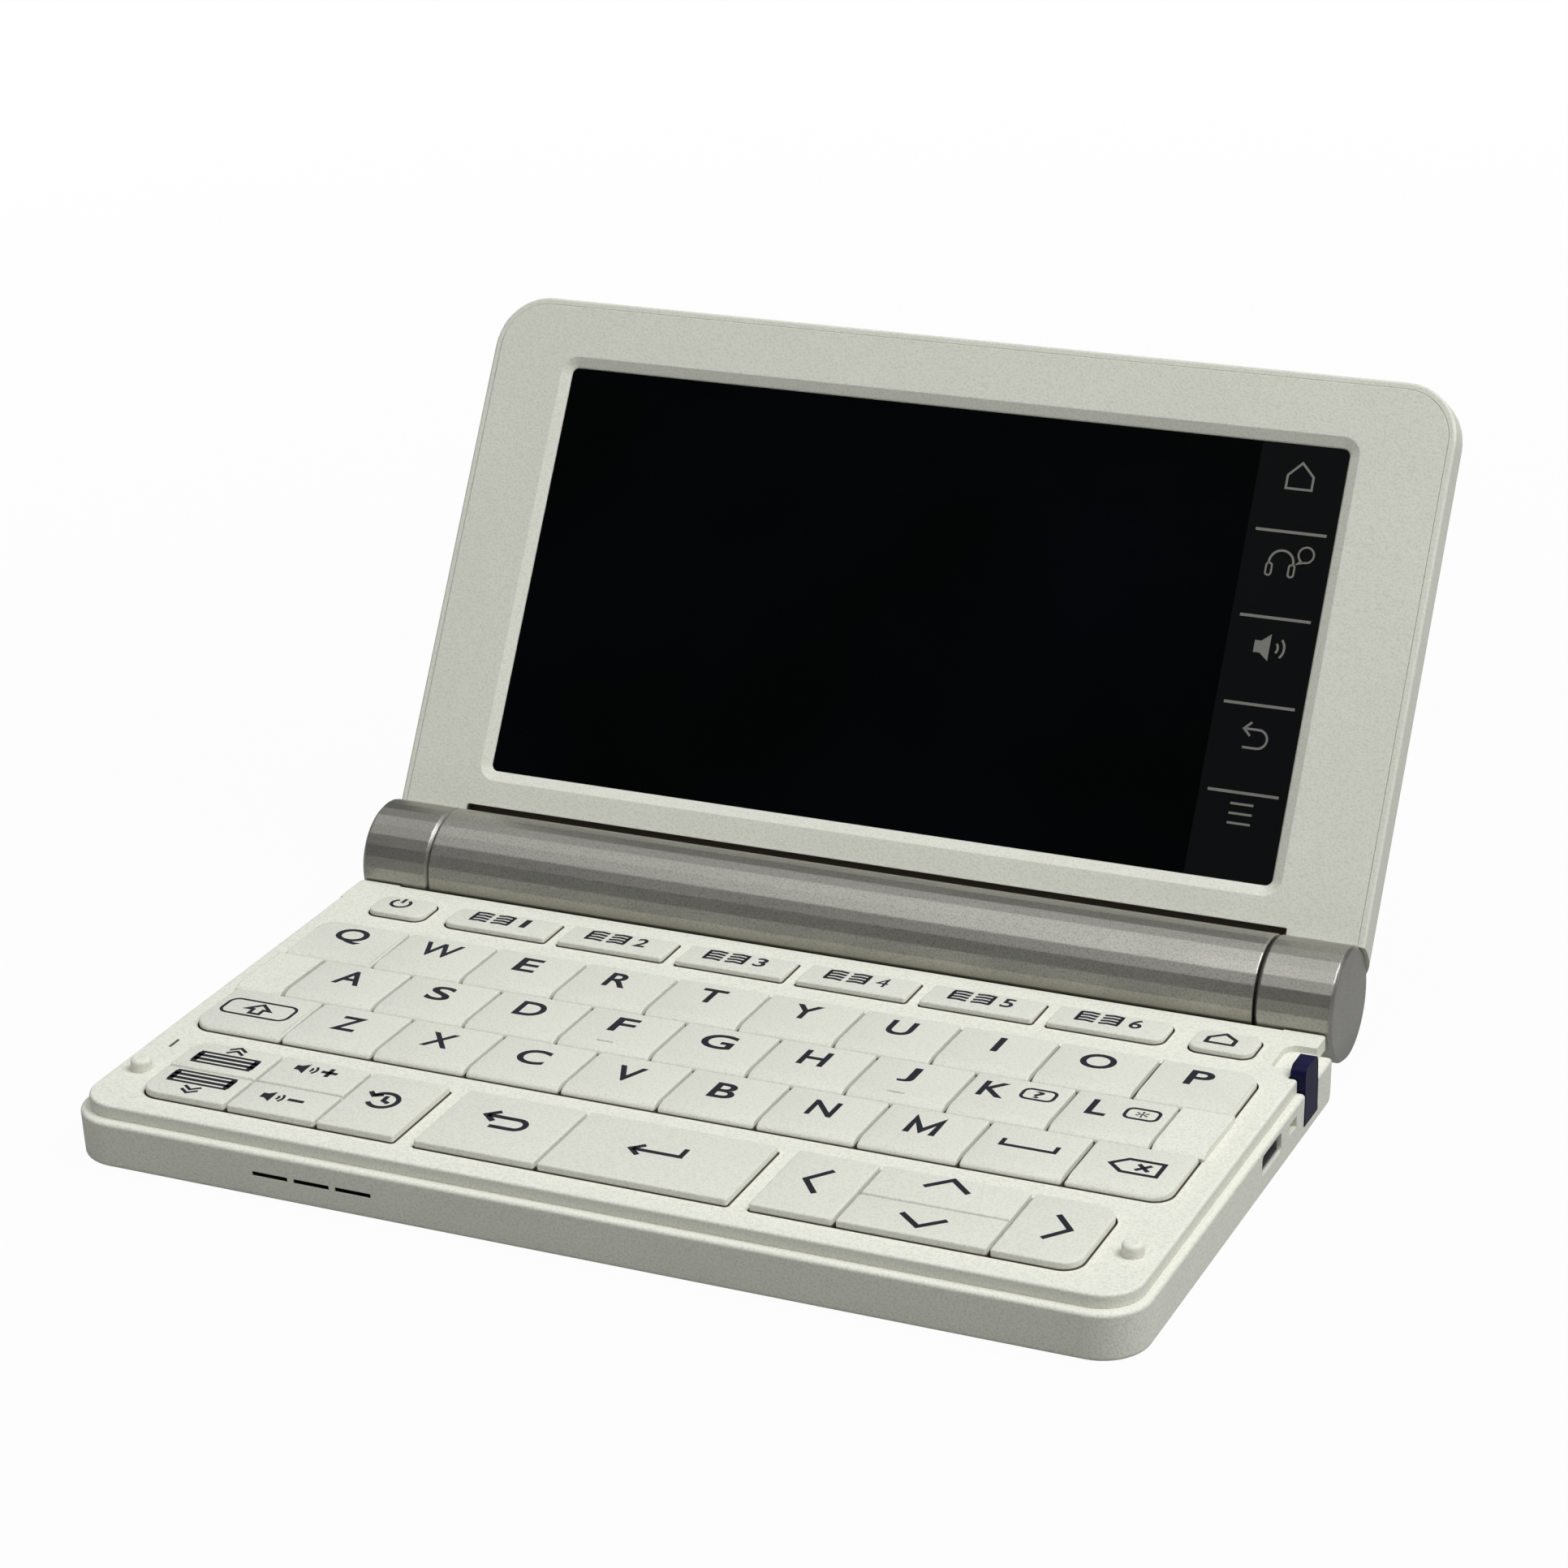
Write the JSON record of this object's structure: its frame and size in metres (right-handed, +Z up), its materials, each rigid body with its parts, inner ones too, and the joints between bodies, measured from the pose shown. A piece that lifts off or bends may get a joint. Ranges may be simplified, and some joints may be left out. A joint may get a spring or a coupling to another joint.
{
  "type": "electronic dictionary",
  "caption": "Pocket clamshell with a letter keyboard, a wide screen on a rear barrel hinge, cells in the barrel and a side stylus.",
  "frame": {"origin": "middle of the footprint of the opened object, on the surface it stands on", "axes": "+X along the hinge to the user's right, -Y towards the user, +Z up from the ground"},
  "size_m": [0.1486, 0.1356, 0.0819],
  "materials": {
    "case_white": "fine texture, warm white",
    "key_white": "satin, warm white",
    "satin_silver": "satin silver with long facets",
    "hinge_steel": "plain turned steel",
    "cells": "plain wrapped cells",
    "circuit_board": "green laminate",
    "key_rubber": "matt grey",
    "foot_rubber": "matt black",
    "navy_plastic": "satin navy",
    "screen_glass": "clear glass, black behind",
    "screen_module": "dark frame"
  },
  "bodies": {
    "base": {"bottom_case": "case_white", "keyboard_deck": "case_white", "hinge_barrel": "satin_silver", "hinge_shafts": "hinge_steel", "batteries": "cells", "main_board": "circuit_board", "key_sheet": "key_rubber", "rubber_feet": "foot_rubber"},
    "lid": {"lid_cover": "case_white", "lid_bezel": "case_white", "display_glass": "screen_glass", "lcd_module": "screen_module", "hinge_end_caps": "satin_silver"},
    "battery_cover": {"battery_cover": "case_white"},
    "stylus": {"stylus": "navy_plastic"},
    "key_q": {"key_q": "key_white"},
    "key_w": {"key_w": "key_white"},
    "key_e": {"key_e": "key_white"},
    "key_r": {"key_r": "key_white"},
    "key_t": {"key_t": "key_white"},
    "key_y": {"key_y": "key_white"},
    "key_u": {"key_u": "key_white"},
    "key_i": {"key_i": "key_white"},
    "key_o": {"key_o": "key_white"},
    "key_p": {"key_p": "key_white"},
    "key_a": {"key_a": "key_white"},
    "key_s": {"key_s": "key_white"},
    "key_d": {"key_d": "key_white"},
    "key_f": {"key_f": "key_white"},
    "key_g": {"key_g": "key_white"},
    "key_h": {"key_h": "key_white"},
    "key_j": {"key_j": "key_white"},
    "key_k": {"key_k": "key_white"},
    "key_l": {"key_l": "key_white"},
    "key_shift": {"key_shift": "key_white"},
    "key_z": {"key_z": "key_white"},
    "key_x": {"key_x": "key_white"},
    "key_c": {"key_c": "key_white"},
    "key_v": {"key_v": "key_white"},
    "key_b": {"key_b": "key_white"},
    "key_n": {"key_n": "key_white"},
    "key_m": {"key_m": "key_white"},
    "key_space": {"key_space": "key_white"},
    "key_delete": {"key_delete": "key_white"},
    "key_dictionary_1": {"key_dictionary_1": "key_white"},
    "key_dictionary_2": {"key_dictionary_2": "key_white"},
    "key_dictionary_3": {"key_dictionary_3": "key_white"},
    "key_dictionary_4": {"key_dictionary_4": "key_white"},
    "key_dictionary_5": {"key_dictionary_5": "key_white"},
    "key_dictionary_6": {"key_dictionary_6": "key_white"},
    "key_power": {"key_power": "key_white"},
    "key_home": {"key_home": "key_white"},
    "key_heading_rocker": {"key_heading_rocker": "key_white"},
    "key_volume_rocker": {"key_volume_rocker": "key_white"},
    "key_history": {"key_history": "key_white"},
    "key_back": {"key_back": "key_white"},
    "key_enter": {"key_enter": "key_white"},
    "key_left": {"key_left": "key_white"},
    "key_up_down_rocker": {"key_up_down_rocker": "key_white"},
    "key_right": {"key_right": "key_white"}
  },
  "joints": [
    {"name": "lid_hinge", "type": "hinge", "parent": "base", "child": "lid", "pos_m": [0, 0.0176, 0.00975], "axis": [1, 0, 0], "range_deg": [-27.7, 121.7]},
    {"name": "battery_cover_slide", "type": "slide", "parent": "base", "child": "battery_cover", "axis": [0, 1, 0], "range_m": [0, 0.009]},
    {"name": "stylus_slide", "type": "slide", "parent": "base", "child": "stylus", "axis": [1, 0, 0], "range_m": [0, 0.085]},
    {"name": "key_q_press", "type": "slide", "parent": "base", "child": "key_q", "axis": [0, 0, -1], "range_m": [0, 0.0005], "stiffness_N_per_m": 1000},
    {"name": "key_w_press", "type": "slide", "parent": "base", "child": "key_w", "axis": [0, 0, -1], "range_m": [0, 0.0005], "stiffness_N_per_m": 1000},
    {"name": "key_e_press", "type": "slide", "parent": "base", "child": "key_e", "axis": [0, 0, -1], "range_m": [0, 0.0005], "stiffness_N_per_m": 1000},
    {"name": "key_r_press", "type": "slide", "parent": "base", "child": "key_r", "axis": [0, 0, -1], "range_m": [0, 0.0005], "stiffness_N_per_m": 1000},
    {"name": "key_t_press", "type": "slide", "parent": "base", "child": "key_t", "axis": [0, 0, -1], "range_m": [0, 0.0005], "stiffness_N_per_m": 1000},
    {"name": "key_y_press", "type": "slide", "parent": "base", "child": "key_y", "axis": [0, 0, -1], "range_m": [0, 0.0005], "stiffness_N_per_m": 1000},
    {"name": "key_u_press", "type": "slide", "parent": "base", "child": "key_u", "axis": [0, 0, -1], "range_m": [0, 0.0005], "stiffness_N_per_m": 1000},
    {"name": "key_i_press", "type": "slide", "parent": "base", "child": "key_i", "axis": [0, 0, -1], "range_m": [0, 0.0005], "stiffness_N_per_m": 1000},
    {"name": "key_o_press", "type": "slide", "parent": "base", "child": "key_o", "axis": [0, 0, -1], "range_m": [0, 0.0005], "stiffness_N_per_m": 1000},
    {"name": "key_p_press", "type": "slide", "parent": "base", "child": "key_p", "axis": [0, 0, -1], "range_m": [0, 0.0005], "stiffness_N_per_m": 1000},
    {"name": "key_a_press", "type": "slide", "parent": "base", "child": "key_a", "axis": [0, 0, -1], "range_m": [0, 0.0005], "stiffness_N_per_m": 1000},
    {"name": "key_s_press", "type": "slide", "parent": "base", "child": "key_s", "axis": [0, 0, -1], "range_m": [0, 0.0005], "stiffness_N_per_m": 1000},
    {"name": "key_d_press", "type": "slide", "parent": "base", "child": "key_d", "axis": [0, 0, -1], "range_m": [0, 0.0005], "stiffness_N_per_m": 1000},
    {"name": "key_f_press", "type": "slide", "parent": "base", "child": "key_f", "axis": [0, 0, -1], "range_m": [0, 0.0005], "stiffness_N_per_m": 1000},
    {"name": "key_g_press", "type": "slide", "parent": "base", "child": "key_g", "axis": [0, 0, -1], "range_m": [0, 0.0005], "stiffness_N_per_m": 1000},
    {"name": "key_h_press", "type": "slide", "parent": "base", "child": "key_h", "axis": [0, 0, -1], "range_m": [0, 0.0005], "stiffness_N_per_m": 1000},
    {"name": "key_j_press", "type": "slide", "parent": "base", "child": "key_j", "axis": [0, 0, -1], "range_m": [0, 0.0005], "stiffness_N_per_m": 1000},
    {"name": "key_k_press", "type": "slide", "parent": "base", "child": "key_k", "axis": [0, 0, -1], "range_m": [0, 0.0005], "stiffness_N_per_m": 1000},
    {"name": "key_l_press", "type": "slide", "parent": "base", "child": "key_l", "axis": [0, 0, -1], "range_m": [0, 0.0005], "stiffness_N_per_m": 1000},
    {"name": "key_shift_press", "type": "slide", "parent": "base", "child": "key_shift", "axis": [0, 0, -1], "range_m": [0, 0.0005], "stiffness_N_per_m": 1000},
    {"name": "key_z_press", "type": "slide", "parent": "base", "child": "key_z", "axis": [0, 0, -1], "range_m": [0, 0.0005], "stiffness_N_per_m": 1000},
    {"name": "key_x_press", "type": "slide", "parent": "base", "child": "key_x", "axis": [0, 0, -1], "range_m": [0, 0.0005], "stiffness_N_per_m": 1000},
    {"name": "key_c_press", "type": "slide", "parent": "base", "child": "key_c", "axis": [0, 0, -1], "range_m": [0, 0.0005], "stiffness_N_per_m": 1000},
    {"name": "key_v_press", "type": "slide", "parent": "base", "child": "key_v", "axis": [0, 0, -1], "range_m": [0, 0.0005], "stiffness_N_per_m": 1000},
    {"name": "key_b_press", "type": "slide", "parent": "base", "child": "key_b", "axis": [0, 0, -1], "range_m": [0, 0.0005], "stiffness_N_per_m": 1000},
    {"name": "key_n_press", "type": "slide", "parent": "base", "child": "key_n", "axis": [0, 0, -1], "range_m": [0, 0.0005], "stiffness_N_per_m": 1000},
    {"name": "key_m_press", "type": "slide", "parent": "base", "child": "key_m", "axis": [0, 0, -1], "range_m": [0, 0.0005], "stiffness_N_per_m": 1000},
    {"name": "key_space_press", "type": "slide", "parent": "base", "child": "key_space", "axis": [0, 0, -1], "range_m": [0, 0.0005], "stiffness_N_per_m": 1000},
    {"name": "key_delete_press", "type": "slide", "parent": "base", "child": "key_delete", "axis": [0, 0, -1], "range_m": [0, 0.0005], "stiffness_N_per_m": 1000},
    {"name": "key_dictionary_1_press", "type": "slide", "parent": "base", "child": "key_dictionary_1", "axis": [0, 0, -1], "range_m": [0, 0.0005], "stiffness_N_per_m": 1000},
    {"name": "key_dictionary_2_press", "type": "slide", "parent": "base", "child": "key_dictionary_2", "axis": [0, 0, -1], "range_m": [0, 0.0005], "stiffness_N_per_m": 1000},
    {"name": "key_dictionary_3_press", "type": "slide", "parent": "base", "child": "key_dictionary_3", "axis": [0, 0, -1], "range_m": [0, 0.0005], "stiffness_N_per_m": 1000},
    {"name": "key_dictionary_4_press", "type": "slide", "parent": "base", "child": "key_dictionary_4", "axis": [0, 0, -1], "range_m": [0, 0.0005], "stiffness_N_per_m": 1000},
    {"name": "key_dictionary_5_press", "type": "slide", "parent": "base", "child": "key_dictionary_5", "axis": [0, 0, -1], "range_m": [0, 0.0005], "stiffness_N_per_m": 1000},
    {"name": "key_dictionary_6_press", "type": "slide", "parent": "base", "child": "key_dictionary_6", "axis": [0, 0, -1], "range_m": [0, 0.0005], "stiffness_N_per_m": 1000},
    {"name": "key_power_press", "type": "slide", "parent": "base", "child": "key_power", "axis": [0, 0, -1], "range_m": [0, 0.0005], "stiffness_N_per_m": 1000},
    {"name": "key_home_press", "type": "slide", "parent": "base", "child": "key_home", "axis": [0, 0, -1], "range_m": [0, 0.0005], "stiffness_N_per_m": 1000},
    {"name": "key_heading_rocker_tilt", "type": "hinge", "parent": "base", "child": "key_heading_rocker", "pos_m": [0, -0.05455, 0.0065], "axis": [1, 0, 0], "range_deg": [-2.5, 2.5], "stiffness_Nm_per_rad": 0.09},
    {"name": "key_volume_rocker_tilt", "type": "hinge", "parent": "base", "child": "key_volume_rocker", "pos_m": [0, -0.05455, 0.0065], "axis": [1, 0, 0], "range_deg": [-2.5, 2.5], "stiffness_Nm_per_rad": 0.09},
    {"name": "key_history_press", "type": "slide", "parent": "base", "child": "key_history", "axis": [0, 0, -1], "range_m": [0, 0.0005], "stiffness_N_per_m": 1000},
    {"name": "key_back_press", "type": "slide", "parent": "base", "child": "key_back", "axis": [0, 0, -1], "range_m": [0, 0.0005], "stiffness_N_per_m": 1000},
    {"name": "key_enter_press", "type": "slide", "parent": "base", "child": "key_enter", "axis": [0, 0, -1], "range_m": [0, 0.0005], "stiffness_N_per_m": 1000},
    {"name": "key_left_press", "type": "slide", "parent": "base", "child": "key_left", "axis": [0, 0, -1], "range_m": [0, 0.0005], "stiffness_N_per_m": 1000},
    {"name": "key_up_down_rocker_tilt", "type": "hinge", "parent": "base", "child": "key_up_down_rocker", "pos_m": [0, -0.05455, 0.0065], "axis": [1, 0, 0], "range_deg": [-2.5, 2.5], "stiffness_Nm_per_rad": 0.09},
    {"name": "key_right_press", "type": "slide", "parent": "base", "child": "key_right", "axis": [0, 0, -1], "range_m": [0, 0.0005], "stiffness_N_per_m": 1000}
  ]
}
